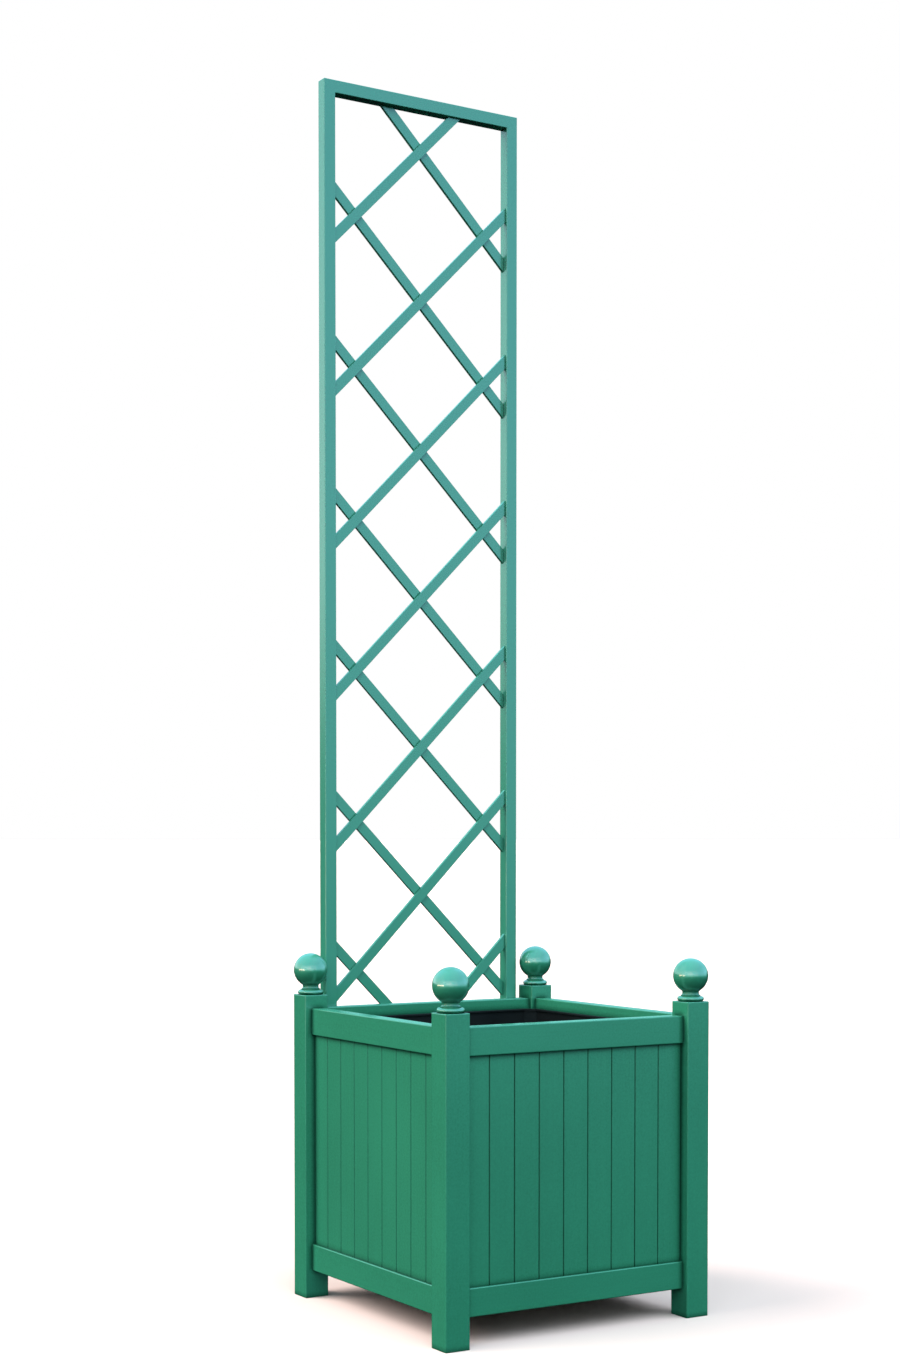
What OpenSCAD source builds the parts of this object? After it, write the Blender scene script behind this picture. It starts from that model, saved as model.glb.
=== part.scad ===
// Square garden planter with ball finials, a lift-out liner and a tall lattice trellis behind it.
// Painted timber joinery: mortised posts and rails, matched boards in grooves, a slatted base.
// Millimetres. The front of the planter faces -Y, the trellis is at +Y, and Z starts at the ground.

/* [Posts] */
// Width and depth of the planter over its posts
planter_w = 580; // [520:1:760]
// Height of the corner posts
post_h = 596; // [480:1:760]
// Side of the square posts
post_w = 50; // [48:1:60]
// Radius of the eased edges of the posts
post_ease = 2; // [1:0.25:4]

/* [Rails] */
// Gap between the ground and the lower rails
foot_h = 54; // [40:1:90]
// Height of the rails
rail_h = 52; // [44:1:70]
// Thickness of the rails
rail_t = 27; // [25:1:30]
// How far the rails lie behind the outer faces of the posts
rail_inset = 14; // [10:0.5:15]
// How far the upper rails lie below the tops of the posts
rail_drop = 26; // [10:1:60]
// Radius of the eased edges of the rails
rail_ease = 2; // [1:0.25:3]
// Thickness of the tenons on the rails
tenon_t = 9; // [6:0.5:11]
// Shoulder above and below each tenon
tenon_shoulder = 10; // [9.5:0.5:14]
// Wood between the two mortises that meet in a post
mortise_web = 2; // [1:0.25:4]
// Gap round a tenon in its mortise
tenon_fit = 0.1; // [0.05:0.05:0.3]
// Gap past the end of a tenon or a board
end_gap = 0.5; // [0.3:0.1:1]

/* [Boards] */
// Number of boards in each side
board_n = 9; // [6:1:12]
// Thickness of the boards
board_t = 12; // [10:0.5:14]
// How far the boards lie behind the faces of the rails
board_inset = 6.5; // [4:0.5:8]
// How deep the boards stand in the grooves of the posts and rails
board_seat = 8; // [5:0.5:8.5]
// Width of the bevel along each edge of a board's face
v_cut = 1; // [0.8:0.1:2.5]
// Length of a board's tongue
tongue_l = 5; // [3:0.5:7]
// Thickness of a board's tongue
tongue_t = 4; // [3:0.5:5]
// Depth of the tongue's middle behind the board's face
tongue_y = 7; // [6:0.25:7.5]
// Gap between neighbouring boards
board_gap = 1.1; // [0.4:0.1:1.5]
// Gap on each face of a board or a tongue in its groove
board_fit = 0.15; // [0.1:0.05:0.3]

/* [Finials] */
// Diameter of the balls
ball_d = 66; // [56:1:80]
// Diameter of the rounded ring under each ball
ring_d = 50; // [44:1:54]
// Height of the ring
ring_h = 9.4; // [8:0.2:12]
// Diameter of the small collar on top of the ring
collar_d = 36.6; // [34:0.2:39]
// Height of the collar's top above the post
collar_h = 11.4; // [10:0.2:13]
// Radius of the cove from the collar up to the neck
cove_r = 3.4; // [2:0.2:3.8]
// Diameter of the neck
neck_d = 31.4; // [27:0.2:33]
// Height of the neck's top above the post, where it flares into the ball
neck_h = 17.2; // [16.6:0.2:24]
// Radius of the fillet between neck and ball
neck_fillet = 3; // [1:0.5:5]
// Diameter of the threaded stud that holds each finial
stud_d = 8; // [6:1:10]
// Length of the stud in the post
stud_in_post = 28; // [18:1:36]
// Length of the stud in the finial
stud_in_ball = 30; // [20:1:40]
// Gap round and past a stud in its hole
stud_fit = 0.1; // [0.05:0.05:0.3]

/* [Base] */
// Side of the square bearers that carry the base
bearer_w = 25; // [20:1:30]
// How far the bearers' tops lie below the tops of the lower rails
bearer_drop = 11; // [6:1:18]
// Thickness of the base slats
slat_t = 18; // [15:1:22]
// Drainage gap between base slats
slat_gap = 8; // [5:1:14]
// Gap between the base and what stands beside it
base_fit = 1; // [0.5:0.1:2]

/* [Liner] */
// How far the liner's rim lies below the tops of the upper rails
liner_drop = 21.5; // [10:0.5:60]
// Thickness of the liner's walls and floor
liner_wall = 3; // [2:0.25:5]
// Gap between the liner and the rails
liner_gap = 3; // [1:0.25:5]
// Gap between the liner's cut corners and the posts
liner_corner_gap = 6; // [1.5:0.5:15]
// Width of the stiffening lip that turns in at the rim
lip_w = 7; // [5:0.5:15]
// Thickness of the lip
lip_t = 4; // [2.5:0.5:8]
// Diameter of the drain holes
drain_d = 14; // [8:1:20]
// Distance of the outer drain holes from the middle
drain_x = 150; // [80:1:190]
// Gap between the liner's floor and the base
liner_rest_gap = 0.3; // [0.2:0.1:0.5]

/* [Trellis] */
// Height of the trellis's top above the ground
trellis_h = 2388; // [1400:1:2600]
// Gap between the trellis and each back post that it stands between
trellis_gap = 15; // [9:0.5:60]
// Side of the square stiles and rails of the trellis
bar_w = 25; // [22:1:32]
// Radius of the eased edges of the trellis frame
bar_ease = 1.5; // [0.75:0.25:3]
// Height of the stiles' feet above the ground
stile_foot = 60; // [40:1:66]
// Height of the trellis's lower rail above the ground
low_bar_z = 88; // [86:1:160]
// Width of the laths
lath_w = 20; // [14:1:26]
// Thickness of the laths
lath_t = 7; // [4:0.5:8]
// Drop from the frame to the nearest crossing of the laths, at the top and at the bottom
lath_drop = 77; // [50:1:95]
// How deep the laths' ends are let into the frame
lath_seat = 6; // [4:0.5:8]
// Gap round a lath's end in the frame
lath_fit = 0.1; // [0.05:0.05:0.3]
// Length of the stub tenons on the trellis rails
stub_l = 12; // [6:0.5:14]
// Thickness of the stub tenons
stub_t = 8; // [6:0.5:10]
// Shoulder above and below each stub tenon
stub_shoulder = 4; // [3:0.5:6]

/* [Screws] */
// Diameter of the screws that hold the trellis
screw_d = 5; // [4:0.5:6]
// Length of the screws that hold the trellis
screw_l = 45; // [35:1:48]
// Diameter of the screws in the base
base_screw_d = 4; // [3:0.5:5]
// Length of the screws in the base
base_screw_l = 36; // [32:1:38]
// Gap round a screw in its hole
screw_fit = 0.1; // [0.05:0.05:0.3]

/* [Hidden] */
$fn = 64;

// Colours, as the object shows them
paint = [0.17, 0.50, 0.41];
paint_boards = [0.16, 0.47, 0.39];
paint_trellis = [0.27, 0.58, 0.54];
liner_black = [0.06, 0.08, 0.09];
bare_wood = [0.62, 0.47, 0.31];
steel = [0.62, 0.63, 0.65];

// Overshoot of a cutting solid past the face that it cuts
over = 1;

// Numbers of base slats and of laths in each layer, each with a node of its own
slat_n = 5;
lath_n = 8;

// Posts and rails, measured from the middle of the planter
half_w = planter_w / 2;
inner = half_w - post_w;
rail_out = half_w - rail_inset;
rail_in = rail_out - rail_t;
rail_len = 2 * inner;
top_rail_z = post_h - rail_drop - rail_h;
top_rail_top = top_rail_z + rail_h;
low_rail_top = foot_h + rail_h;
tenon_len = half_w - rail_inset - rail_t / 2 - tenon_t / 2 - mortise_web - inner;
tenon_h = rail_h - 2 * tenon_shoulder;

// Boards. The rebate that the end boards have at the posts is as deep as the joints between the boards.
end_rebate = tongue_y - tongue_t / 2;
end_t = board_t - end_rebate;
board_face = rail_out - board_inset;
board_pitch = rail_len / board_n;
board_z = low_rail_top - board_seat;
board_h = top_rail_z - low_rail_top + 2 * board_seat;
groove_depth = board_seat + end_gap;

// Finials, measured from the top of the post. The ring's edge is rounded to a little more than half
// its height, so that its lower face ends in a shallow foot on the post.
ball_r = ball_d / 2;
neck_r = neck_d / 2;
collar_r = collar_d / 2;
ring_r = ring_d / 2;
ring_foot = 0.1;
ring_round = ring_h / 2 + ring_foot;
ring_mid_z = ring_h - ring_round;
fillet_x = neck_r + neck_fillet;
ball_z = neck_h + sqrt(pow(ball_r + neck_fillet, 2) - pow(fillet_x, 2));
touch = ball_r / (ball_r + neck_fillet);

// Base and liner
bearer_top = low_rail_top - bearer_drop;
slat_top = bearer_top + slat_t;
slat_span = 2 * (inner - base_fit);
slat_w = (slat_span - (slat_n - 1) * slat_gap) / slat_n;
slat_pitch = slat_w + slat_gap;
slat_screw_x = rail_in - bearer_w / 2;
slat_screw_y = slat_w / 4;
liner_half = rail_in - liner_gap;
liner_cut = 2 * (liner_half - inner) + liner_corner_gap * sqrt(2);
liner_z = slat_top + liner_rest_gap;
liner_top = top_rail_top - liner_drop;

// Trellis: it stands between the back posts, against the outer faces of the back rails
trellis_w = 2 * (inner - trellis_gap);
trellis_y = rail_out;
trellis_back = trellis_y + bar_w;
stile_in = trellis_w / 2 - bar_w;
top_bar_z = trellis_h - bar_w;
lath_low = low_bar_z + bar_w;
lath_pitch = (top_bar_z - lath_low - 2 * lath_drop) / (lath_n - 1);
lath_y = trellis_y + bar_w / 2;
screw_x = trellis_w / 2 - bar_w / 2;
screw_high_z = top_rail_z + rail_h / 2;
screw_low_z = foot_h + rail_h / 2;

// Wood screws: radius of the head and of the point for each millimetre of diameter
head_share = 0.95;
point_share = 0.1;

// Shift that puts the middle of the whole object's depth on the Z axis.
// The balls reach past the posts, and at the back the trellis may reach past the balls.
ball_out = max(half_w, half_w - post_w / 2 + ball_r);
mid_y = (max(trellis_back, ball_out) - ball_out) / 2;

// Rectangle from the origin with all four corners rounded
module eased_rect(w, h, r) {
    translate([r, 0])
        square([w - 2 * r, h]);
    translate([0, r])
        square([w, h - 2 * r]);
    for (x = [r, w - r], y = [r, h - r])
        translate([x, y])
            circle(r);
}

// Rectangle from the origin with only the upper two corners rounded
module eased_top(w, h, r) {
    square([w, h - r]);
    translate([r, 0])
        square([w - 2 * r, h]);
    for (x = [r, w - r])
        translate([x, h - r])
            circle(r);
}

// Stands an outline up in the Y and Z directions and runs it along X, centred
module run_along_x(len) {
    rotate([90, 0, 90])
        translate([0, 0, -len / 2])
            linear_extrude(len)
                children();
}

// Waste that rounds an edge lying on the Z axis, with the wood at +X and +Y
module edge_waste(len, r) {
    linear_extrude(len)
        difference() {
            translate([-over, -over])
                square(r + over);
            translate([r, r])
                circle(r);
        }
}

// Puts something built round the planter's middle into the object's own frame
module placed() {
    translate([0, -mid_y, 0])
        children();
}

// The same for what is built at the front: 0 leaves it there, 1 right, 2 back, 3 left
module on_side(k) {
    placed()
        rotate([0, 0, 90 * k])
            children();
}

// Does a thing once as it is and once with X and Y exchanged
module both_ways() {
    children();
    mirror([1, -1, 0])
        children();
}

// Post, built at the front left corner with its outer corner on the local origin
module post(k) {
    color(paint)
        on_side(k)
            translate([-half_w, -half_w, 0])
                difference() {
                    post_blank();
                    both_ways()
                        post_joints();
                    translate([post_w / 2, post_w / 2, post_h - stud_in_post - stud_fit])
                        cylinder(d = stud_d + 2 * stud_fit, h = stud_in_post + stud_fit + over);
                }
}

module post_blank() {
    intersection() {
        linear_extrude(post_h)
            eased_rect(post_w, post_w, post_ease);
        translate([post_w / 2, 0, 0])
            run_along_x(post_w + 2 * over)
                eased_top(post_w, post_h, post_ease);
        translate([0, post_w + over, 0])
            rotate([90, 0, 0])
                linear_extrude(post_w + 2 * over)
                    eased_top(post_w, post_h, post_ease);
    }
}

// Mortises for the two rails and the groove for the end board, in the face at local X = post_w
module post_joints() {
    mortise_d = tenon_len + end_gap;
    for (z = [foot_h, top_rail_z])
        translate([post_w - mortise_d, rail_inset + (rail_t - tenon_t) / 2 - tenon_fit,
                z + tenon_shoulder - tenon_fit])
            cube([mortise_d + over, tenon_t + 2 * tenon_fit, tenon_h + 2 * tenon_fit]);
    translate([post_w - groove_depth, rail_inset + board_inset + end_rebate - board_fit, board_z - end_gap])
        cube([groove_depth + over, end_t + 2 * board_fit, board_h + 2 * end_gap]);
}

// Turned finial: flat-bottomed ring, collar with a cove, neck, and ball
module finial(k) {
    color(paint)
        on_side(k)
            translate([-half_w + post_w / 2, -half_w + post_w / 2, post_h])
                difference() {
                    rotate_extrude()
                        finial_outline();
                    translate([0, 0, -over])
                        cylinder(d = stud_d + 2 * stud_fit, h = stud_in_ball + stud_fit + over);
                }
}

module finial_outline() {
    intersection() {
        union() {
            translate([0, ball_z])
                circle(ball_r, $fn = 128);
            finial_neck();
            square([collar_r, collar_h]);
            square([ring_r - ring_round, ring_h]);
            translate([ring_r - ring_round, ring_mid_z])
                circle(ring_round);
        }
        square([ball_r + over, ball_z + ball_r + over]);
    }
}

// Neck with a cove down to the collar and a fillet up to the ball
module finial_neck() {
    square([neck_r, neck_h + over]);
    difference() {
        translate([0, collar_h])
            square([collar_r, cove_r]);
        translate([neck_r + cove_r, collar_h + cove_r])
            circle(cove_r);
    }
    difference() {
        polygon([
            [0, neck_h],
            [fillet_x, neck_h],
            [fillet_x * touch, ball_z - (ball_z - neck_h) * touch],
            [0, ball_z]
        ]);
        translate([fillet_x, neck_h])
            circle(neck_fillet);
    }
}

// Studs that join the finials to the posts
module finial_studs() {
    color(steel)
        for (k = [0 : 3])
            on_side(k)
                translate([-half_w + post_w / 2, -half_w + post_w / 2, post_h - stud_in_post])
                    cylinder(d = stud_d, h = stud_in_post + stud_in_ball);
}

// Rail between two posts, with a tenon at each end and a groove for the boards.
// groove_up is true on the lower rails, whose groove is in their upper edge.
module rail(z, groove_up) {
    groove_z = groove_up ? rail_h - groove_depth : -over;
    translate([0, -rail_out, z])
        difference() {
            union() {
                run_along_x(rail_len)
                    eased_rect(rail_t, rail_h, rail_ease);
                translate([-rail_len / 2 - tenon_len, (rail_t - tenon_t) / 2, tenon_shoulder])
                    cube([rail_len + 2 * tenon_len, tenon_t, tenon_h]);
            }
            translate([-rail_len / 2 - over, board_inset - board_fit, groove_z])
                cube([rail_len + 2 * over, board_t + 2 * board_fit, groove_depth + over]);
        }
}

module top_rail(k) {
    color(paint)
        difference() {
            on_side(k)
                rail(top_rail_z, false);
            if (k == 2)
                trellis_screw_set(screw_fit);
        }
}

module bottom_rail(k) {
    color(paint)
        difference() {
            on_side(k)
                rail(foot_h, true);
            if (k == 2)
                trellis_screw_set(screw_fit);
            if (k == 1 || k == 3)
                bearer_screw_set(screw_fit);
        }
}

// Outline of one board seen from above, its face at the front.
// first and last mark the end boards, whose rebated edge stands in a post instead of in a neighbour.
module board_outline(first, last) {
    left = first ? board_gap : board_gap / 2;
    right = board_pitch - (last ? board_gap : board_gap / 2);
    difference() {
        union() {
            polygon([
                [left + v_cut, 0], [right - v_cut, 0], [right, v_cut],
                [right, board_t], [left, board_t], [left, v_cut]
            ]);
            if (first)
                translate([-board_seat, end_rebate])
                    square([board_seat + left + over, end_t]);
            if (last)
                translate([right - over, end_rebate])
                    square([over + board_gap + board_seat, end_t]);
            else
                translate([right - over, tongue_y - tongue_t / 2])
                    square([tongue_l + over, tongue_t]);
        }
        if (!first)
            translate([left - over, tongue_y - tongue_t / 2 - board_fit])
                square([tongue_l + end_gap - board_gap + over, tongue_t + 2 * board_fit]);
    }
}

module boards(k) {
    color(paint_boards)
        on_side(k)
            for (i = [0 : board_n - 1])
                translate([-inner + i * board_pitch, -board_face, board_z])
                    linear_extrude(board_h)
                        board_outline(i == 0, i == board_n - 1);
}

// Countersunk wood screw: its head's face on the local origin, its point towards -Z.
// With grow above 0 it is the screw's hole, which runs out past the face.
module wood_screw(d, len, grow) {
    head_r = d * head_share + grow;
    r = d / 2 + grow;
    rotate_extrude()
        polygon([
            [0, 0], [head_r, 0], [r, r - head_r], [r, d - len - grow],
            [d * point_share, -len - grow], [0, -len - grow]
        ]);
    if (grow > 0)
        cylinder(r = head_r, h = over);
}

// Cross recess cut into a screw's head, as wide and half as deep as the screw is thick
module cross_recess(d) {
    slot = 2 * d * point_share;
    for (a = [0, 90])
        rotate([0, 0, a])
            translate([-d / 2, -slot / 2, -d / 2])
                cube([d, slot, d / 2 + over]);
}

// Screws from the back through the trellis into the planter's back rails
module trellis_screw_set(grow) {
    placed()
        for (x = [-screw_x, screw_x], z = [screw_low_z, screw_high_z])
            translate([x, trellis_back, z])
                rotate([-90, 0, 0])
                    wood_screw(screw_d, screw_l, grow);
}

module trellis_screws() {
    color(steel)
        difference() {
            trellis_screw_set(0);
            placed()
                for (x = [-screw_x, screw_x], z = [screw_low_z, screw_high_z])
                    translate([x, trellis_back, z])
                        rotate([-90, 0, 0])
                            cross_recess(screw_d);
        }
}

// Screws through the bearers into the lower rails at the sides, one under each gap in the base
module bearer_screw_set(grow) {
    for (k = [1, 3])
        on_side(k)
            for (i = [1 : slat_n - 1])
                translate([(i - slat_n / 2) * slat_pitch, -rail_in + bearer_w, bearer_top - bearer_w / 2])
                    rotate([-90, 0, 0])
                        wood_screw(base_screw_d, base_screw_l, grow);
}

module bearer_screws() {
    color(steel)
        bearer_screw_set(0);
}

// Bearer on the inside of a lower rail
module bearer(k) {
    color(bare_wood)
        difference() {
            on_side(k)
                translate([-inner + base_fit, -rail_in, bearer_top - bearer_w])
                    cube([slat_span, bearer_w, bearer_w]);
            bearer_screw_set(screw_fit);
            slat_screw_set(screw_fit);
        }
}

// Base slats run from side to side and are counted from the front
module base_slat(i) {
    color(bare_wood)
        difference() {
            placed()
                translate([-rail_in + base_fit, -slat_span / 2 + (i - 1) * slat_pitch, bearer_top])
                    cube([2 * (rail_in - base_fit), slat_w, slat_t]);
            slat_screw_set(screw_fit);
        }
}

// Two screws at each end of every slat, down into the bearers
module slat_screw_set(grow) {
    placed()
        for (i = [0 : slat_n - 1], x = [-slat_screw_x, slat_screw_x], s = [-1, 1])
            translate([x, (i - (slat_n - 1) / 2) * slat_pitch + s * slat_screw_y, slat_top])
                wood_screw(base_screw_d, base_screw_l, grow);
}

module slat_screws() {
    color(steel)
        slat_screw_set(0);
}

// Square with its corners cut off, centred
module cut_square(half, cut) {
    polygon([
        [half - cut, -half], [half, cut - half], [half, half - cut], [half - cut, half],
        [cut - half, half], [-half, half - cut], [-half, cut - half], [cut - half, -half]
    ]);
}

// Side of the corner cut when the walls are offset inwards by t, so that all walls are equally thick
function inset_cut(t) = liner_cut - t * (2 - sqrt(2));

// Open-topped liner with cut corners and an inward lip. Its drain holes lie over the gaps in the base:
// the middle pair over the two inner gaps, the outer pairs over the two outer ones.
module liner() {
    color(liner_black)
        placed()
            difference() {
                translate([0, 0, liner_z])
                    linear_extrude(liner_top - liner_z)
                        cut_square(liner_half, liner_cut);
                translate([0, 0, liner_z + liner_wall])
                    linear_extrude(liner_top - lip_t - liner_z - liner_wall)
                        cut_square(liner_half - liner_wall, inset_cut(liner_wall));
                translate([0, 0, liner_top - lip_t - over])
                    linear_extrude(lip_t + 2 * over)
                        cut_square(liner_half - lip_w, inset_cut(lip_w));
                for (x = [-drain_x, 0, drain_x], y = [-slat_pitch / 2, slat_pitch / 2])
                    translate([x, y * (x == 0 ? 1 : 3), liner_z - over])
                        cylinder(d = drain_d, h = liner_wall + 2 * over);
            }
}

// Lath at 45 degrees, clipped to the opening of the trellis frame and to its seats in the frame.
// way is 1 for the rising laths of the front layer and -1 for the falling ones of the back layer.
module lath(way, i, grow, past) {
    reach = lath_seat + past;
    z = top_bar_z - lath_drop - (i - 1) * lath_pitch;
    placed()
        translate([0, lath_y + (way > 0 ? 0 : lath_t) + grow, 0])
            rotate([90, 0, 0])
                linear_extrude(lath_t + 2 * grow)
                    intersection() {
                        translate([0, z])
                            rotate(45 * way)
                                square([4 * stile_in, lath_w + 2 * grow], center = true);
                        translate([-stile_in - reach, lath_low - reach])
                            square([2 * (stile_in + reach), top_bar_z - lath_low + 2 * reach]);
                    }
}

module lath_seats() {
    for (way = [-1, 1], i = [1 : lath_n])
        lath(way, i, lath_fit, end_gap);
}

module rising_lath(i) {
    color(paint_trellis)
        lath(1, i, 0, 0);
}

module falling_lath(i) {
    color(paint_trellis)
        lath(-1, i, 0, 0);
}

// Upright of the trellis. side is -1 at the left and 1 at the right.
// Its edges are eased, apart from the stretches of the inner ones that meet the rails flush.
module trellis_stile(side) {
    color(paint_trellis)
        difference() {
            placed()
                translate([side * (stile_in + bar_w), trellis_y, 0])
                    mirror([side > 0 ? 1 : 0, 0, 0])
                        stile_blank();
            trellis_rail_set(tenon_fit, end_gap);
            lath_seats();
            trellis_screw_set(screw_fit);
        }
}

module stile_blank() {
    difference() {
        translate([0, 0, stile_foot])
            cube([bar_w, bar_w, trellis_h - stile_foot]);
        for (flip = [0, 1])
            translate([0, flip * bar_w, 0])
                mirror([0, flip, 0]) {
                    translate([0, 0, stile_foot - over])
                        edge_waste(trellis_h - stile_foot + 2 * over, bar_ease);
                    translate([bar_w, 0, lath_low])
                        mirror([1, 0, 0])
                            edge_waste(top_bar_z - lath_low, bar_ease);
                    translate([bar_w, 0, stile_foot - over])
                        mirror([1, 0, 0])
                            edge_waste(low_bar_z - stile_foot + over, bar_ease);
                    translate([bar_w + over, 0, trellis_h])
                        rotate([0, -90, 0])
                            mirror([1, 0, 0])
                                edge_waste(bar_w + 2 * over, bar_ease);
                }
        translate([0, bar_w + over, trellis_h])
            rotate([90, 0, 0])
                mirror([0, 1, 0])
                    edge_waste(bar_w + 2 * over, bar_ease);
    }
}

// Rail of the trellis with a stub tenon at each end; its lower edge is at height z
module trellis_rail(z, grow, past) {
    placed()
        translate([0, trellis_y + (bar_w - stub_t) / 2 - grow, z + stub_shoulder - grow])
            translate([-stile_in - stub_l - past, 0, 0])
                cube([2 * (stile_in + stub_l + past), stub_t + 2 * grow,
                    bar_w - 2 * stub_shoulder + 2 * grow]);
}

module trellis_rail_set(grow, past) {
    for (z = [top_bar_z, low_bar_z])
        trellis_rail(z, grow, past);
}

module trellis_cross_rail(z) {
    color(paint_trellis)
        difference() {
            union() {
                placed()
                    translate([0, trellis_y, z])
                        run_along_x(2 * stile_in)
                            eased_rect(bar_w, bar_w, bar_ease);
                trellis_rail(z, 0, 0);
            }
            lath_seats();
        }
}

post(0);  // post_front_left
post(1);  // post_front_right
post(2);  // post_back_right
post(3);  // post_back_left
finial(0);  // finial_front_left
finial(1);  // finial_front_right
finial(2);  // finial_back_right
finial(3);  // finial_back_left
finial_studs();
top_rail(0);  // top_rail_front
top_rail(1);  // top_rail_right
top_rail(2);  // top_rail_back
top_rail(3);  // top_rail_left
bottom_rail(0);  // bottom_rail_front
bottom_rail(1);  // bottom_rail_right
bottom_rail(2);  // bottom_rail_back
bottom_rail(3);  // bottom_rail_left
boards(0);  // boards_front
boards(1);  // boards_right
boards(2);  // boards_back
boards(3);  // boards_left
bearer(1);  // bearer_right
bearer(3);  // bearer_left
bearer_screws();
base_slat(1);  // base_slat_1
base_slat(2);  // base_slat_2
base_slat(3);  // base_slat_3
base_slat(4);  // base_slat_4
base_slat(5);  // base_slat_5
slat_screws();
liner();
trellis_stile(-1);  // trellis_stile_left
trellis_stile(1);  // trellis_stile_right
trellis_cross_rail(top_bar_z);  // trellis_top_rail
trellis_cross_rail(low_bar_z);  // trellis_low_rail
rising_lath(1);  // lath_rising_1
rising_lath(2);  // lath_rising_2
rising_lath(3);  // lath_rising_3
rising_lath(4);  // lath_rising_4
rising_lath(5);  // lath_rising_5
rising_lath(6);  // lath_rising_6
rising_lath(7);  // lath_rising_7
rising_lath(8);  // lath_rising_8
falling_lath(1);  // lath_falling_1
falling_lath(2);  // lath_falling_2
falling_lath(3);  // lath_falling_3
falling_lath(4);  // lath_falling_4
falling_lath(5);  // lath_falling_5
falling_lath(6);  // lath_falling_6
falling_lath(7);  // lath_falling_7
falling_lath(8);  // lath_falling_8
trellis_screws();
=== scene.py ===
"""Dresses the planter with trellis: painted timber, glossy ball finials, black liner, and a pale studio round it."""
import math

import bpy
from bpy.props import FloatProperty, FloatVectorProperty, PointerProperty
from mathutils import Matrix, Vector

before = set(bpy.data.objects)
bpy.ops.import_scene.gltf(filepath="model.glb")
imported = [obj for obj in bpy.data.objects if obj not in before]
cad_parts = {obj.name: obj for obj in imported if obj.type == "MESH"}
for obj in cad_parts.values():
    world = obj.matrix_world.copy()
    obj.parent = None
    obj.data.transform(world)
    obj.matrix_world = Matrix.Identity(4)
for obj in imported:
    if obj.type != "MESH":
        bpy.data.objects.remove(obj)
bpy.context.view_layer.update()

bl_info = {
    "name": "Planter with Trellis",
    "version": (1, 0, 0),
    "blender": (4, 5, 0),
    "location": "View3D > Sidebar > Planter",
    "description": "Finishes a painted timber planter, its liner and its lattice trellis, and sets up the studio",
    "category": "Object",
}

SIDES = ("front", "right", "back", "left")
CORNERS = ("front_left", "front_right", "back_right", "back_left")
TAB = "Planter"


# Settings that a user would change


class PaintSettings(bpy.types.PropertyGroup):
    """Colours and surface of the green paint, in linear colour and metres."""

    planter: FloatVectorProperty(
        name="Planter", description="Paint on the posts and rails",
        subtype="COLOR", size=3, min=0, max=1, default=(0.0215, 0.220, 0.131))
    boards: FloatVectorProperty(
        name="Boards", description="Paint on the matched boards",
        subtype="COLOR", size=3, min=0, max=1, default=(0.0215, 0.216, 0.128))
    finials: FloatVectorProperty(
        name="Finials", description="Gloss paint on the turned finials",
        subtype="COLOR", size=3, min=0, max=1, default=(0.021, 0.228, 0.136))
    trellis: FloatVectorProperty(
        name="Trellis", description="Paint on the trellis frame and laths",
        subtype="COLOR", size=3, min=0, max=1, default=(0.028, 0.236, 0.159))
    contrast: FloatProperty(
        name="Contrast", description="How far the lightest and darkest paint lie from the chosen colour",
        subtype="FACTOR", min=0, max=1, default=0.23)
    speckle: FloatProperty(
        name="Speckle size", description="Size of the fine mottling that the roller leaves",
        subtype="DISTANCE", unit="LENGTH", min=0.0005, max=0.02, precision=4, default=0.0038)
    peel: FloatProperty(
        name="Roller texture depth", description="Depth of the stipple in the paint film",
        subtype="DISTANCE", unit="LENGTH", min=0, max=0.001, precision=6, default=0.000020)
    grain: FloatProperty(
        name="Grain depth", description="Depth of the wood grain that shows through the paint",
        subtype="DISTANCE", unit="LENGTH", min=0, max=0.001, precision=6, default=0.000018)
    sprayed: FloatProperty(
        name="Sprayed share",
        description="How strong the mottling is, and how far corners reach, on the sprayed trellis",
        subtype="FACTOR", min=0, max=1, default=0.10)
    # Corner reach and corner tone set painted shade: the paint is darkened, and its shine cut, in corners where
    # other surfaces lie within reach.
    reach: FloatProperty(
        name="Corner reach", description="How far dust and brush marks reach out of the corners",
        subtype="DISTANCE", unit="LENGTH", min=0.001, max=0.1, precision=3, default=0.012)
    corner: FloatProperty(
        name="Corner tone", description="How much of its colour the paint keeps deep in a corner, where it is dull",
        subtype="FACTOR", min=0, max=1, default=0.32)
    roughness: FloatProperty(
        name="Roughness", description="Roughness of the satin paint on the flat timber",
        subtype="FACTOR", min=0, max=1, default=0.20)
    gloss_roughness: FloatProperty(
        name="Gloss roughness", description="Roughness of the gloss coat on the finials",
        subtype="FACTOR", min=0, max=1, default=0.045)


class PartSettings(bpy.types.PropertyGroup):
    """Finish of the parts that aren't painted, and the eased edges."""

    liner: FloatVectorProperty(
        name="Liner", description="Black plastic of the liner",
        subtype="COLOR", size=3, min=0, max=1, default=(0.0062, 0.0090, 0.0098))
    timber_light: FloatVectorProperty(
        name="Timber, light", description="Early wood of the bare base slats and bearers",
        subtype="COLOR", size=3, min=0, max=1, default=(0.47, 0.29, 0.13))
    timber_dark: FloatVectorProperty(
        name="Timber, dark", description="Late wood of the bare base slats and bearers",
        subtype="COLOR", size=3, min=0, max=1, default=(0.24, 0.115, 0.042))
    zinc: FloatVectorProperty(
        name="Zinc", description="Plating of the screws and studs",
        subtype="COLOR", size=3, min=0, max=1, default=(0.60, 0.61, 0.64))
    lath_edge: FloatProperty(
        name="Lath edge", description="Width of the eased edges of the laths",
        subtype="DISTANCE", unit="LENGTH", min=0.0001, max=0.002, precision=4, default=0.0003)
    liner_edge: FloatProperty(
        name="Liner edge", description="Width of the eased edges of the liner",
        subtype="DISTANCE", unit="LENGTH", min=0.0001, max=0.002, precision=4, default=0.0008)


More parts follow.
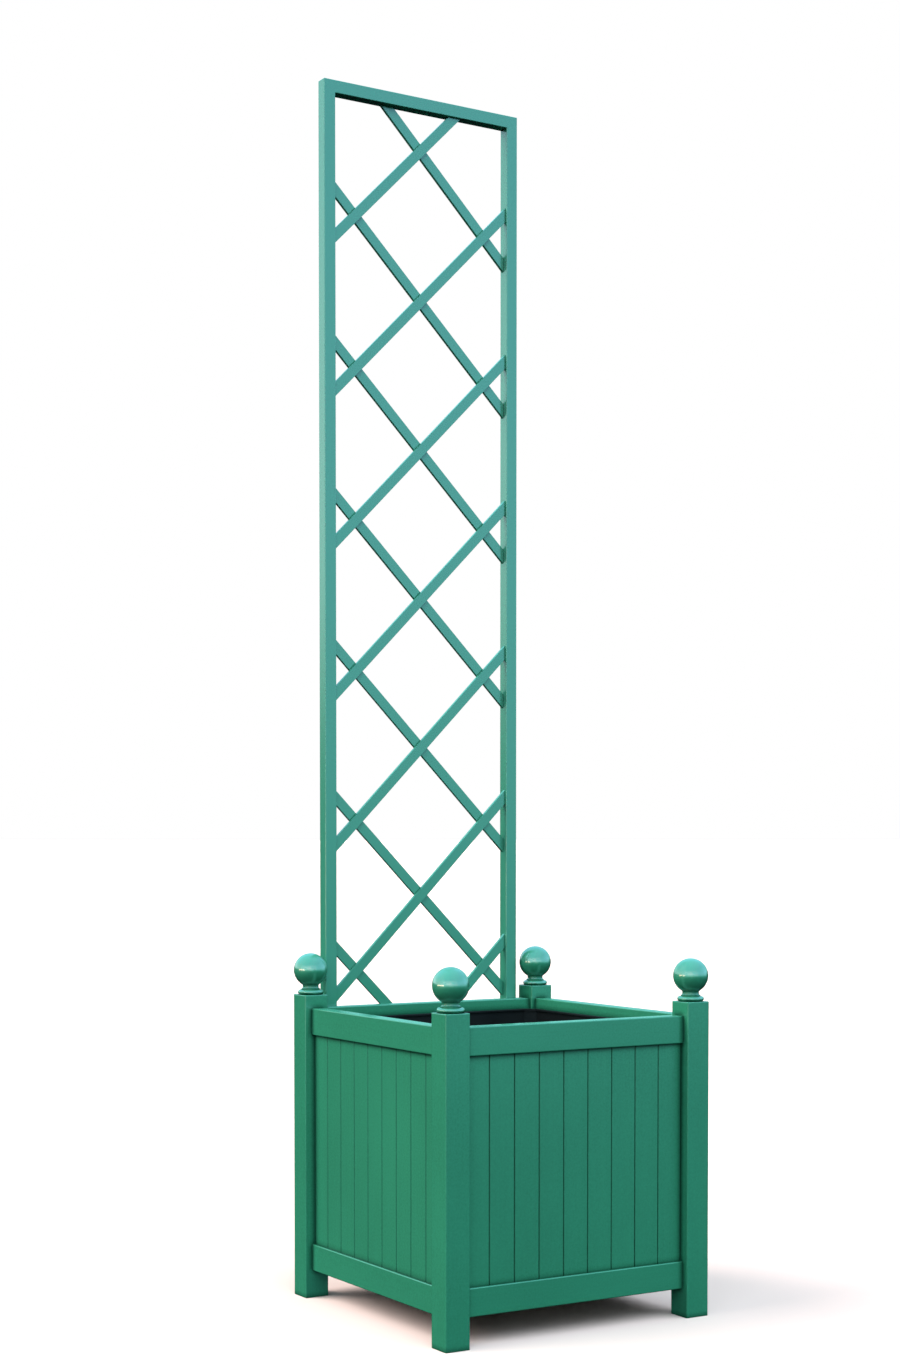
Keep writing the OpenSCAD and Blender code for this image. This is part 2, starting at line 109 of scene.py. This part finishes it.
class StageSettings(bpy.types.PropertyGroup):
    """Camera, floor and lights."""

    camera_place: FloatVectorProperty(
        name="Camera place", description="Where the camera stands",
        subtype="TRANSLATION", unit="LENGTH", size=3, default=(-2.2225, -3.4816, 0.9024))
    camera_turn: FloatProperty(
        name="Camera turn", description="How far the camera is turned from the back to the right",
        subtype="ANGLE", unit="ROTATION", default=0.5466)
    camera_tilt: FloatProperty(
        name="Camera tilt", description="How far the camera looks down",
        subtype="ANGLE", unit="ROTATION", default=0.0362)
    lens: FloatProperty(
        name="Lens", description="Focal length on a sensor 36 mm high",
        min=10, max=300, default=56.455)
    rise: FloatProperty(
        name="Rise", description="How far the view is shifted up, as a share of its height",
        subtype="FACTOR", min=-1, max=1, default=0.1697)
    floor_colour: FloatVectorProperty(
        name="Floor", description="Pale floor",
        subtype="COLOR", size=3, min=0, max=1, default=(0.68, 0.68, 0.67))
    ceiling: FloatVectorProperty(
        name="Ceiling", description="Soft light from above, which fades down the walls",
        subtype="COLOR", size=3, min=0, max=8, default=(0.50, 0.50, 0.53))
    walls: FloatVectorProperty(
        name="Walls", description="Soft light from the foot of the walls",
        subtype="COLOR", size=3, min=0, max=4, default=(0.02, 0.02, 0.02))
    ground: FloatVectorProperty(
        name="Ground", description="Light of the room below the horizon",
        subtype="COLOR", size=3, min=0, max=1, default=(0.010, 0.014, 0.014))
    lean: FloatVectorProperty(
        name="Lean of the light", description="How much brighter the soft light is at the left than straight ahead",
        subtype="COLOR", size=3, min=0, max=1, default=(0.40, 0.40, 0.40))
    gloss_camera: FloatVectorProperty(
        name="Reflection, front left", description="What gloss reflects of the wall behind the camera",
        subtype="COLOR", size=3, min=0, max=8, default=(1.8, 3.2, 3.5))
    gloss_front: FloatVectorProperty(
        name="Reflection, front right", description="What gloss reflects of the wall at the front right",
        subtype="COLOR", size=3, min=0, max=8, default=(1.0, 2.3, 2.9))
    gloss_above: FloatVectorProperty(
        name="Reflection, above", description="What gloss reflects of the ceiling",
        subtype="COLOR", size=3, min=0, max=8, default=(0.6, 1.4, 2.0))
    gloss_left: FloatVectorProperty(
        name="Reflection, left", description="What gloss reflects of the wall at the left and behind",
        subtype="COLOR", size=3, min=0, max=8, default=(1.6, 2.1, 2.3))
    gloss_back: FloatVectorProperty(
        name="Reflection, back right", description="What gloss reflects of the wall behind the object",
        subtype="COLOR", size=3, min=0, max=8, default=(0.45, 1.15, 1.2))
    key: FloatProperty(
        name="Key light",
        description="Irradiance of the soft light from the front right, in watts for each square metre",
        min=0, max=50, default=2.5)
    key_colour: FloatVectorProperty(
        name="Key colour", description="Colour of the light from the front right",
        subtype="COLOR", size=3, min=0, max=1, default=(1.0, 0.95, 1.0))
    side: FloatProperty(
        name="Side light",
        description="Irradiance of the soft light from the back left, in watts for each square metre",
        min=0, max=50, default=5.35)
    side_colour: FloatVectorProperty(
        name="Side colour", description="Warm colour of the light from the back left",
        subtype="COLOR", size=3, min=0, max=1, default=(1.0, 0.74, 0.655))
    fill: FloatProperty(
        name="Fill light",
        description="Irradiance of the weak light from the camera's side, in watts for each square metre",
        min=0, max=50, default=1.58)
    strip: FloatProperty(
        name="Strip light", description="Power of the warm strip at the left",
        subtype="POWER", unit="POWER", min=0, max=5000, default=30)


# Shader nodes

NOISE_RANGE = (0.3, 0.7)
OPENNESS_SAMPLES = 8
CORNER_OPENNESS = 0.5


class Graph:
    """Adds nodes to one node tree and links them."""

    def __init__(self, tree):
        self.tree = tree
        tree.nodes.clear()

    def add(self, kind, inputs=None, **options):
        """A node of that kind. Each input is a value, or the output that feeds it."""
        node = self.tree.nodes.new("ShaderNode" + kind)
        for name, value in options.items():
            setattr(node, name, value)
        for name, value in (inputs or {}).items():
            if isinstance(value, bpy.types.NodeSocket):
                self.tree.links.new(value, node.inputs[name])
            else:
                node.inputs[name].default_value = value
        return node

    def place(self):
        """The point on the piece, in metres in the object's frame."""
        return self.add("TexCoord").outputs["Object"]

    def scaled(self, vector, scale):
        """The vector with each part multiplied."""
        return self.add("VectorMath", {0: vector, 1: scale}, operation="MULTIPLY").outputs["Vector"]

    def noise(self, vector, scale, detail=2.0, roughness=0.5, distortion=0.0):
        """Smooth noise from 0 to 1, with its middle near 0.5."""
        inputs = {"Vector": vector, "Scale": scale, "Detail": detail, "Roughness": roughness,
                  "Distortion": distortion}
        return self.add("TexNoise", inputs).outputs["Fac"]

    def math(self, operation, a, b, c=0.0):
        """One arithmetic step."""
        return self.add("Math", {0: a, 1: b, 2: c}, operation=operation).outputs["Value"]

    def between(self, value, low, high, to_low=0.0, to_high=1.0):
        """The value's place between low and high, moved to between to_low and to_high."""
        inputs = {"Value": value, "From Min": low, "From Max": high, "To Min": to_low, "To Max": to_high}
        return self.add("MapRange", inputs).outputs["Result"]

    def swing(self, noise, low, high):
        """The noise, which seldom leaves its usual range, moved to between low and high."""
        return self.between(noise, *NOISE_RANGE, low, high)

    def blend(self, factor, a, b):
        """The colour that lies between a and b by the factor."""
        ends = [value if isinstance(value, bpy.types.NodeSocket) else (*value, 1) for value in (a, b)]
        node = self.add("Mix", data_type="RGBA")
        for socket, value in ((node.inputs[0], factor), (node.inputs[6], ends[0]), (node.inputs[7], ends[1])):
            if isinstance(value, bpy.types.NodeSocket):
                self.tree.links.new(value, socket)
            else:
                socket.default_value = value
        return node.outputs[2]

    def ramp(self, factor, stops):
        """A colour that follows the factor through stops of (position, linear colour)."""
        node = self.add("ValToRGB", {"Fac": factor})
        elements = node.color_ramp.elements
        while len(elements) < len(stops):
            elements.new(0.5)
        for element, (position, colour) in zip(elements, stops):
            element.position = position
            element.color = (*colour, 1)
        return node.outputs["Color"]

    def openness(self, reach):
        """How open the surface lies, from 0 in a square corner to 1 with nothing within reach."""
        share = self.add("AmbientOcclusion", {"Distance": reach}, samples=OPENNESS_SAMPLES).outputs["AO"]
        return self.between(share, CORNER_OPENNESS, 1.0)

    def bump(self, height, distance, normal=None):
        """A normal that leans with the height, which spans distance metres."""
        inputs = {"Height": height, "Distance": distance, "Strength": 1.0}
        if normal is not None:
            inputs["Normal"] = normal
        return self.add("Bump", inputs).outputs["Normal"]

    def surface(self, inputs):
        """The principled shader, linked to the material's output."""
        shader = self.add("BsdfPrincipled", inputs)
        self.add("OutputMaterial", {"Surface": shader.outputs["BSDF"]})


def new_material(name):
    """An empty node material and its graph."""
    material = bpy.data.materials.new(name)
    material.use_nodes = True
    return material, Graph(material.node_tree)


def shade(colour, factor):
    """The colour made lighter or darker by a factor."""
    return tuple(channel * factor for channel in colour)


# Materials

GRAIN_ACROSS = 260.0
GRAIN_ALONG = 7.0
DRIFT_SCALE = 3.5
SPECKLE_SHARE = 0.55
DRIFT_SHARE = 0.30
GRAIN_SHARE = 0.15
STIPPLE_FINENESS = 1.6
SATIN_SWING = 0.03
SATIN_IOR = 1.7
OPEN_LEVEL = 0.5
FLOW_SCALE = 90
FLOW_SHARE = 0.5
FINIAL_TONE_SCALE = 24
UNDERCOAT_ROUGHNESS = (0.28, 0.36)
UNDERCOAT_IOR = 1.5
COAT_IOR = 1.8


def grain_scale(axis):
    """How much the grain noise is stretched along a timber that runs along that axis."""
    return tuple(GRAIN_ALONG if name == axis else GRAIN_ACROSS for name in "XYZ")


def toned(colour, contrast):
    """Ramp stops from the colour darkened to the colour lightened."""
    return [(0.25, shade(colour, 1 - contrast)), (0.5, tuple(colour)), (0.75, shade(colour, 1 + contrast))]


def paint_tone(graph, place, paint, grain):
    """Mottling of the paint from 0 to 1: roller speckle, slow drift over the piece, and a trace of the grain."""
    speckle = graph.noise(place, 1 / paint.speckle, detail=3, roughness=0.7)
    drift = graph.noise(place, DRIFT_SCALE, detail=2)
    tone = graph.math("MULTIPLY", speckle, SPECKLE_SHARE)
    tone = graph.math("MULTIPLY_ADD", drift, DRIFT_SHARE, tone)
    return graph.math("MULTIPLY_ADD", grain, GRAIN_SHARE, tone)


def painted_corner_shade(graph, colour, paint, share=1.0):
    """The paint's colour and specular level, both lower in corners: painted shade, which darkens the paint and cuts
    its shine where nearby parts hem it in.
    """
    openness = graph.openness(paint.reach * share)
    # Painted shade: the colour is blended towards black in corners, and the specular level falls with the openness.
    painted_shade = graph.between(openness, 0, 1, paint.corner, 1.0)
    return graph.blend(painted_shade, (0, 0, 0), colour), graph.math("MULTIPLY", openness, OPEN_LEVEL)


def satin_paint(name, colour, axis, paint, share=1.0):
    """Satin paint on planed timber whose grain runs along the axis, with that share of the roller's marks, and
    painted shade in its corners that reaches that share as far.
    """
    material, graph = new_material(name)
    place = graph.place()
    grain = graph.noise(graph.scaled(place, grain_scale(axis)), 1.0, detail=3, roughness=0.6, distortion=0.4)
    stipple = graph.noise(place, STIPPLE_FINENESS / paint.speckle, detail=1)
    tone = paint_tone(graph, place, paint, grain)
    normal = graph.bump(stipple, paint.peel * share, graph.bump(grain, paint.grain * share))
    # Painted shade in corners: darker colour and lower specular level.
    colour, level = painted_corner_shade(graph, graph.ramp(tone, toned(colour, paint.contrast * share)), paint, share)
    graph.surface({
        "Base Color": colour,
        "Specular IOR Level": level,
        "Roughness": graph.swing(stipple, paint.roughness - SATIN_SWING, paint.roughness + SATIN_SWING),
        "IOR": SATIN_IOR,
        "Normal": normal,
    })
    return material


def gloss_paint(name, colour, paint):
    """Turned timber with a clear gloss coat over its paint; painted shade darkens the paint and thins the coat and
    its shine in corners.
    """
    material, graph = new_material(name)
    place = graph.place()
    flow = graph.noise(place, FLOW_SCALE, detail=2)
    tone = graph.noise(place, FINIAL_TONE_SCALE, detail=2)
    # Painted shade in corners: darker colour and lower specular level.
    colour, level = painted_corner_shade(graph, graph.ramp(tone, toned(colour, paint.contrast * paint.sprayed)), paint)
    graph.surface({
        "Base Color": colour,
        "Specular IOR Level": level,
        "Roughness": graph.swing(flow, *UNDERCOAT_ROUGHNESS),
        "IOR": UNDERCOAT_IOR,
        # The coat follows the painted shade, thinning to none in corners.
        "Coat Weight": graph.math("DIVIDE", level, OPEN_LEVEL),
        "Coat Roughness": paint.gloss_roughness,
        "Coat IOR": COAT_IOR,
        "Normal": graph.bump(flow, paint.peel * FLOW_SHARE),
    })
    return material


PIT_SCALE = 1400
PIT_DEPTH = 0.00006
MOULD_FLOW = (9, 9, 3)
LINER_TONES = (0.75, 1.35)
LINER_ROUGHNESS = (0.42, 0.58)
LINER_IOR = 1.4
LINER_LEVEL = 0.12


def liner_plastic(name, colour):
    """Moulded black plastic with a fine matt grain."""
    material, graph = new_material(name)
    place = graph.place()
    pits = graph.noise(place, PIT_SCALE, detail=2, roughness=0.7)
    flow = graph.noise(graph.scaled(place, MOULD_FLOW), 1.0, detail=3)
    stops = [(position, shade(colour, tone)) for position, tone in zip(NOISE_RANGE, LINER_TONES)]
    graph.surface({
        "Base Color": graph.ramp(flow, stops),
        "Roughness": graph.swing(pits, *LINER_ROUGHNESS),
        "IOR": LINER_IOR,
        "Specular IOR Level": LINER_LEVEL,
        "Normal": graph.bump(pits, PIT_DEPTH),
    })
    return material


RINGS_ALONG = 0.6
RINGS_ACROSS = 9.0
RING_WAVES = {"Scale": 1.6, "Distortion": 7.0, "Detail": 3.0, "Detail Scale": 1.2}
RING_SHARE = 0.65
FIBRE_SHARE = 0.4
FIBRE_FINENESS = 2.4
TIMBER_STOPS = (0.15, 0.5, 0.85)
TIMBER_RELIEF = 0.0002
TIMBER_ROUGHNESS = (0.55, 0.75)
TIMBER_IOR = 1.45


def bare_timber(name, axis, parts):
    """Planed softwood: rings and fine fibres that run along the axis."""
    material, graph = new_material(name)
    place = graph.place()
    stretch = tuple(RINGS_ALONG if part == axis else RINGS_ACROSS for part in "XYZ")
    rings = graph.add("TexWave", {"Vector": graph.scaled(place, stretch), **RING_WAVES},
                      wave_type="BANDS", bands_direction="DIAGONAL").outputs["Fac"]
    fibres = graph.noise(graph.scaled(place, grain_scale(axis)), FIBRE_FINENESS, detail=4, roughness=0.7)
    tone = graph.math("MULTIPLY_ADD", rings, RING_SHARE, graph.math("MULTIPLY", fibres, FIBRE_SHARE))
    middle = tuple((a + b) / 2 for a, b in zip(parts.timber_light, parts.timber_dark))
    stops = list(zip(TIMBER_STOPS, (tuple(parts.timber_dark), middle, tuple(parts.timber_light))))
    graph.surface({
        "Base Color": graph.ramp(tone, stops),
        "Roughness": graph.swing(fibres, *TIMBER_ROUGHNESS),
        "IOR": TIMBER_IOR,
        "Normal": graph.bump(tone, TIMBER_RELIEF),
    })
    return material


SPANGLE_SCALE = 1800
SPANGLE_TONES = ((0.0, 0.8), (0.8, 1.15))
MARK_SCALE = 3200
MARK_DEPTH = 0.00002
ZINC_ROUGHNESS = (0.22, 0.42)


def zinc_plate(name, colour):
    """Bright zinc plating with a faint spangle and drawn marks."""
    material, graph = new_material(name)
    place = graph.place()
    spangle = graph.add("TexVoronoi", {"Vector": place, "Scale": SPANGLE_SCALE}).outputs["Distance"]
    marks = graph.noise(place, MARK_SCALE, detail=1)
    stops = [(position, shade(colour, tone)) for position, tone in SPANGLE_TONES]
    graph.surface({
        "Base Color": graph.ramp(spangle, stops),
        "Metallic": 1.0,
        "Roughness": graph.swing(marks, *ZINC_ROUGHNESS),
        "Normal": graph.bump(marks, MARK_DEPTH),
    })
    return material


# Pieces

WELD_DISTANCE = 0.00001
EDGE_ANGLE = 40
EDGE_SEGMENTS = 2


def finish_node(name, material):
    """Gives a CAD piece one material."""
    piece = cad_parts[name]
    piece.data.materials.clear()
    piece.data.materials.append(material)
    return piece


def ease_edges(piece, width):
    """Rounds the piece's sharp edges by that width, after joining the corners that its faces share."""
    weld = piece.modifiers.new("weld", "WELD")
    weld.merge_threshold = WELD_DISTANCE
    bevel = piece.modifiers.new("ease", "BEVEL")
    bevel.width = width
    bevel.segments = EDGE_SEGMENTS
    bevel.limit_method = "ANGLE"
    bevel.angle_limit = math.radians(EDGE_ANGLE)
    bevel.use_clamp_overlap = True
    bevel.harden_normals = True


class FinishPosts(bpy.types.Operator):
    """Paints the four corner posts, whose grain runs upright"""

    bl_idname = "planter.finish_posts"
    bl_label = "Posts"

    def execute(self, context):
        paint = context.scene.planter_paint
        material = satin_paint("satin_paint_posts", paint.planter, "Z", paint)
        for corner in CORNERS:
            finish_node(f"post_{corner}", material)
        return {"FINISHED"}


class FinishRails(bpy.types.Operator):
    """Paints the upper and lower rails, whose grain runs along them"""

    bl_idname = "planter.finish_rails"
    bl_label = "Rails"

    def execute(self, context):
        paint = context.scene.planter_paint
        along = {axis: satin_paint(f"satin_paint_rails_{axis.lower()}", paint.planter, axis, paint) for axis in "XY"}
        for number, side in enumerate(SIDES):
            for level in ("top", "bottom"):
                finish_node(f"{level}_rail_{side}", along["XY"[number % 2]])
        return {"FINISHED"}


class FinishBoards(bpy.types.Operator):
    """Paints the matched boards"""

    bl_idname = "planter.finish_boards"
    bl_label = "Boards"

    def execute(self, context):
        paint = context.scene.planter_paint
        material = satin_paint("satin_paint_boards", paint.boards, "Z", paint)
        for side in SIDES:
            finish_node(f"boards_{side}", material)
        return {"FINISHED"}


class FinishFinials(bpy.types.Operator):
    """Gives the turned finials their gloss paint"""

    bl_idname = "planter.finish_finials"
    bl_label = "Finials"

    def execute(self, context):
        paint = context.scene.planter_paint
        material = gloss_paint("gloss_paint_finials", paint.finials, paint)
        for corner in CORNERS:
            finish_node(f"finial_{corner}", material)
        return {"FINISHED"}


class FinishBase(bpy.types.Operator):
    """Gives the bearers and base slats their bare timber"""

    bl_idname = "planter.finish_base"
    bl_label = "Base"

    def execute(self, context):
        parts = context.scene.planter_parts
        across = bare_timber("bare_timber_slats", "X", parts)
        for name in sorted(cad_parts):
            if name.startswith("base_slat"):
                finish_node(name, across)
        deep = bare_timber("bare_timber_bearers", "Y", parts)
        for side in ("left", "right"):
            finish_node(f"bearer_{side}", deep)
        return {"FINISHED"}


class FinishLiner(bpy.types.Operator):
    """Gives the liner its moulded plastic and eases its edges"""

    bl_idname = "planter.finish_liner"
    bl_label = "Liner"

    def execute(self, context):
        parts = context.scene.planter_parts
        piece = finish_node("liner", liner_plastic("liner_plastic_black", parts.liner))
        ease_edges(piece, parts.liner_edge)
        return {"FINISHED"}


class FinishTrellisFrame(bpy.types.Operator):
    """Paints the stiles and rails of the trellis"""

    bl_idname = "planter.finish_trellis_frame"
    bl_label = "Trellis frame"

    def execute(self, context):
        paint = context.scene.planter_paint
        upright = satin_paint("satin_paint_stiles", paint.trellis, "Z", paint, paint.sprayed)
        level = satin_paint("satin_paint_trellis_rails", paint.trellis, "X", paint, paint.sprayed)
        for name, material in (("stile_left", upright), ("stile_right", upright),
                               ("top_rail", level), ("low_rail", level)):
            finish_node(f"trellis_{name}", material)
        return {"FINISHED"}


class FinishLaths(bpy.types.Operator):
    """Paints the laths of both layers and eases their edges"""

    bl_idname = "planter.finish_laths"
    bl_label = "Laths"

    def execute(self, context):
        paint = context.scene.planter_paint
        material = satin_paint("satin_paint_laths", paint.trellis, "Z", paint, paint.sprayed)
        for name in sorted(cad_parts):
            if name.startswith("lath_"):
                piece = finish_node(name, material)
                ease_edges(piece, context.scene.planter_parts.lath_edge)
        return {"FINISHED"}


class FinishFixings(bpy.types.Operator):
    """Plates the screws and the finials' studs"""

    bl_idname = "planter.finish_fixings"
    bl_label = "Fixings"

    def execute(self, context):
        material = zinc_plate("zinc_plate_fixings", context.scene.planter_parts.zinc)
        for name in ("finial_studs", "bearer_screws", "slat_screws", "trellis_screws"):
            finish_node(name, material)
        return {"FINISHED"}


# Stage. Places and sizes are in metres, spreads in degrees. A light's direction points from the object to it.

FLOOR_RINGS = (2.0, 8.0, 40.0, 200.0, 1000.0)
FLOOR_SIDES = 48
HORIZON_LOW = -0.008
HORIZON_HIGH = 0.008
WALL_FOOT = -0.25
WALL_TOP = 1.0
FRONT_WALL = ((-0.25, (0.01, 0.01, 0.01)), (-0.10, (0.10, 0.16, 0.13)), (-0.03, (0.36, 0.55, 0.43)),
              (0.0, (0.70, 0.80, 0.68)), (0.15, (1.0, 1.0, 1.0)), (0.30, (0.9, 0.9, 0.95)), (1.0, (0.8, 0.8, 0.85)))
BACK_WALL = ((-0.25, (0.01, 0.01, 0.01)), (0.04, (0.02, 0.04, 0.03)), (0.10, (0.90, 0.95, 0.90)),
             (0.17, (1.0, 1.0, 1.0)), (0.35, (0.65, 0.80, 0.85)), (1.0, (0.65, 0.80, 0.90)))
BRIGHT_SIDE = (-0.93, 0.37, 0)
CEILING_FOOT = 0.20
CEILING_TOP = 0.75
WALL_TO_CEILING = (0.33, 0.62)
FRONT_RIGHT_TO_LEFT = (0.3, -0.3)
BACK_RIGHT_TO_LEFT = (0.2, -0.3)
FRONT_TO_BACK = (-0.2, 0.3)
PATCHES = (2.6, 2.6, 8.0)
PATCH_RANGE = (0.35, 0.65)
PATCH_DARK = (0.50, 0.82, 0.88)
PATCH_LIGHT = (1.95, 1.24, 1.20)
KEY_FROM = (0.30, -0.45, 0.84)
KEY_SPREAD = 60
SIDE_FROM = (-0.69, 0.34, 0.64)
SIDE_SPREAD = 50
FILL_FROM = (-0.51, -0.77, 0.45)
FILL_SPREAD = 56
FAR_PLACE = 6
STRIP_PLACE = (-3.6, 0.25, 0.74)
STRIP_LENGTH = 3.0
STRIP_HEIGHT = 0.30
STRIP_COLOUR = (1.0, 0.70, 0.50)
WHITE = (1.0, 1.0, 1.0)
AIM = Vector((0, 0, 0.7))
SENSOR_LONG_SIDE = 36


def floor_mesh():
    """A flat disc of rings round the object, fine in the middle and wide outside."""
    points = [(0, 0, 0)]
    for radius in FLOOR_RINGS:
        for step in range(FLOOR_SIDES):
            angle = 2 * math.pi * step / FLOOR_SIDES
            points.append((radius * math.cos(angle), radius * math.sin(angle), 0))
    faces = []
    for step in range(FLOOR_SIDES):
        after = (step + 1) % FLOOR_SIDES
        faces.append((0, 1 + step, 1 + after))
        for ring in range(len(FLOOR_RINGS) - 1):
            near = 1 + ring * FLOOR_SIDES
            far = near + FLOOR_SIDES
            faces.append((near + step, far + step, far + after, near + after))
    mesh = bpy.data.meshes.new("floor")
    mesh.from_pydata(points, [], faces)
    return mesh


def add_floor(stage):
    """A pale floor that keeps the object's shadow and throws no light back."""
    material, graph = new_material("pale_floor")
    plain = graph.add("BsdfDiffuse", {"Color": (*stage.floor_colour, 1)}).outputs["BSDF"]
    clear = graph.add("BsdfTransparent").outputs["BSDF"]
    from_below = graph.add("NewGeometry").outputs["Backfacing"]
    shown = graph.add("MixShader", {0: from_below, 1: plain, 2: clear}).outputs["Shader"]
    graph.add("OutputMaterial", {"Surface": shown})
    floor = bpy.data.objects.new("floor", floor_mesh())
    floor.data.materials.append(material)
    floor.visible_diffuse = False
    floor.visible_glossy = False
    bpy.context.scene.collection.objects.link(floor)


def profile(graph, height, stops):
    """The tint of a wall that follows the height of the direction through stops of (height, tint)."""
    span = WALL_TOP - WALL_FOOT
    places = [((level - WALL_FOOT) / span, tint) for level, tint in stops]
    return graph.ramp(graph.between(height, WALL_FOOT, WALL_TOP), places)


def add_room(stage):
    """A white room: soft light from above for the object, cool walls over a dark floor for its gloss."""
    world = bpy.data.worlds.new("studio")
    world.use_nodes = True
    graph = Graph(world.node_tree)
    direction = graph.add("TexCoord").outputs["Generated"]
    x, y, z = graph.add("SeparateXYZ", {"Vector": direction}).outputs
    above = graph.between(z, HORIZON_LOW, HORIZON_HIGH)
    to_left = graph.add("VectorMath", {0: direction, 1: BRIGHT_SIDE}, operation="DOT_PRODUCT").outputs["Value"]
    lean = graph.add("VectorMath", {0: stage.lean, "Scale": to_left}, operation="SCALE").outputs["Vector"]
    lean = graph.add("VectorMath", {0: lean, 1: WHITE}).outputs["Vector"]
    height = graph.add("MapRange", {"Value": z, "From Min": CEILING_FOOT, "From Max": CEILING_TOP},
                       interpolation_type="SMOOTHSTEP").outputs["Result"]
    light = graph.scaled(graph.blend(height, stage.walls, stage.ceiling), lean)
    light = graph.blend(above, stage.ground, light)
    patch = graph.noise(graph.scaled(direction, PATCHES), 1.0, detail=3)
    uneven = graph.blend(graph.between(patch, *PATCH_RANGE), PATCH_DARK, PATCH_LIGHT)
    patchy = graph.scaled(uneven, stage.gloss_camera)
    front = graph.blend(graph.between(x, *FRONT_RIGHT_TO_LEFT), stage.gloss_front, patchy)
    back = graph.blend(graph.between(x, *BACK_RIGHT_TO_LEFT), stage.gloss_back, stage.gloss_left)
    behind = graph.between(y, *FRONT_TO_BACK)
    shape = graph.blend(behind, profile(graph, z, FRONT_WALL), profile(graph, z, BACK_WALL))
    gloss = graph.scaled(graph.blend(behind, front, back), shape)
    gloss = graph.blend(graph.between(z, *WALL_TO_CEILING), gloss, stage.gloss_above)
    path = graph.add("LightPath").outputs
    lit = graph.blend(path["Is Glossy Ray"], light, gloss)
    seen = graph.blend(path["Is Camera Ray"], lit, WHITE)
    background = graph.add("Background", {"Color": seen, "Strength": 1.0})
    graph.add("OutputWorld", {"Surface": background.outputs["Background"]})
    bpy.context.scene.world = world


def add_lamp(name, kind, place, energy, colour):
    """A lamp that the camera doesn't see, turned to the planter."""
    lamp = bpy.data.objects.new(name, bpy.data.lights.new(name, kind))
    lamp.data.energy = energy
    lamp.data.color = colour
    lamp.location = place
    lamp.rotation_euler = (AIM - lamp.location).to_track_quat("-Z", "Y").to_euler()
    lamp.visible_camera = False
    bpy.context.scene.collection.objects.link(lamp)
    return lamp


def add_far_light(name, direction, spread, energy, colour):
    """Soft light from far away over a disc of sky that many degrees wide, which gloss doesn't show."""
    lamp = add_lamp(name, "SUN", AIM + FAR_PLACE * Vector(direction), energy, colour)
    lamp.data.angle = math.radians(spread)
    lamp.visible_glossy = False


def add_lights(stage):
    """Three soft lights from far away, and a warm strip at the left that only the gloss shows."""
    add_far_light("key", KEY_FROM, KEY_SPREAD, stage.key, stage.key_colour)
    add_far_light("side", SIDE_FROM, SIDE_SPREAD, stage.side, stage.side_colour)
    add_far_light("fill", FILL_FROM, FILL_SPREAD, stage.fill, WHITE)
    strip = add_lamp("strip", "AREA", STRIP_PLACE, stage.strip, STRIP_COLOUR)
    strip.data.shape = "RECTANGLE"
    strip.data.size = STRIP_LENGTH
    strip.data.size_y = STRIP_HEIGHT
    strip.visible_diffuse = False


def add_camera(stage):
    """The camera at the photograph's place, angle and framing. Its sensor's long side stands upright."""
    data = bpy.data.cameras.new("camera")
    data.sensor_width = SENSOR_LONG_SIDE
    data.lens = stage.lens
    data.shift_y = stage.rise
    camera = bpy.data.objects.new("camera", data)
    camera.location = stage.camera_place
    camera.rotation_euler = (math.pi / 2 - stage.camera_tilt, 0, -stage.camera_turn)
    bpy.context.scene.collection.objects.link(camera)
    bpy.context.scene.camera = camera


class SetStage(bpy.types.Operator):
    """Adds the floor, the white room, the lights and the camera"""

    bl_idname = "planter.set_stage"
    bl_label = "Stage"

    def execute(self, context):
        stage = context.scene.planter_stage
        add_floor(stage)
        add_room(stage)
        add_lights(stage)
        add_camera(stage)
        context.scene.view_settings.view_transform = "Standard"
        return {"FINISHED"}


# Panel and registration

PIECE_OPERATORS = (FinishPosts, FinishRails, FinishBoards, FinishFinials, FinishBase, FinishLiner,
                   FinishTrellisFrame, FinishLaths, FinishFixings, SetStage)
SETTINGS = (("planter_paint", PaintSettings), ("planter_parts", PartSettings), ("planter_stage", StageSettings))


class PlanterPanel(bpy.types.Panel):
    """Lists the settings and the operators"""

    bl_idname = "VIEW3D_PT_planter"
    bl_label = "Planter with Trellis"
    bl_space_type = "VIEW_3D"
    bl_region_type = "UI"
    bl_category = TAB

    def draw(self, context):
        for operator in PIECE_OPERATORS:
            self.layout.operator(operator.bl_idname)
        for name, group in SETTINGS:
            box = self.layout.box()
            for setting in group.__annotations__:
                box.prop(getattr(context.scene, name), setting)


CLASSES = (PaintSettings, PartSettings, StageSettings, *PIECE_OPERATORS, PlanterPanel)


def register():
    for made in CLASSES:
        bpy.utils.register_class(made)
    for name, group in SETTINGS:
        setattr(bpy.types.Scene, name, PointerProperty(type=group))


def unregister():
    for name, _ in SETTINGS:
        delattr(bpy.types.Scene, name)
    for made in reversed(CLASSES):
        bpy.utils.unregister_class(made)


def main():
    """Registers the add-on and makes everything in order."""
    register()
    for operator in PIECE_OPERATORS:
        group, action = operator.bl_idname.split(".")
        getattr(getattr(bpy.ops, group), action)()


if __name__ == "__main__":
    main()
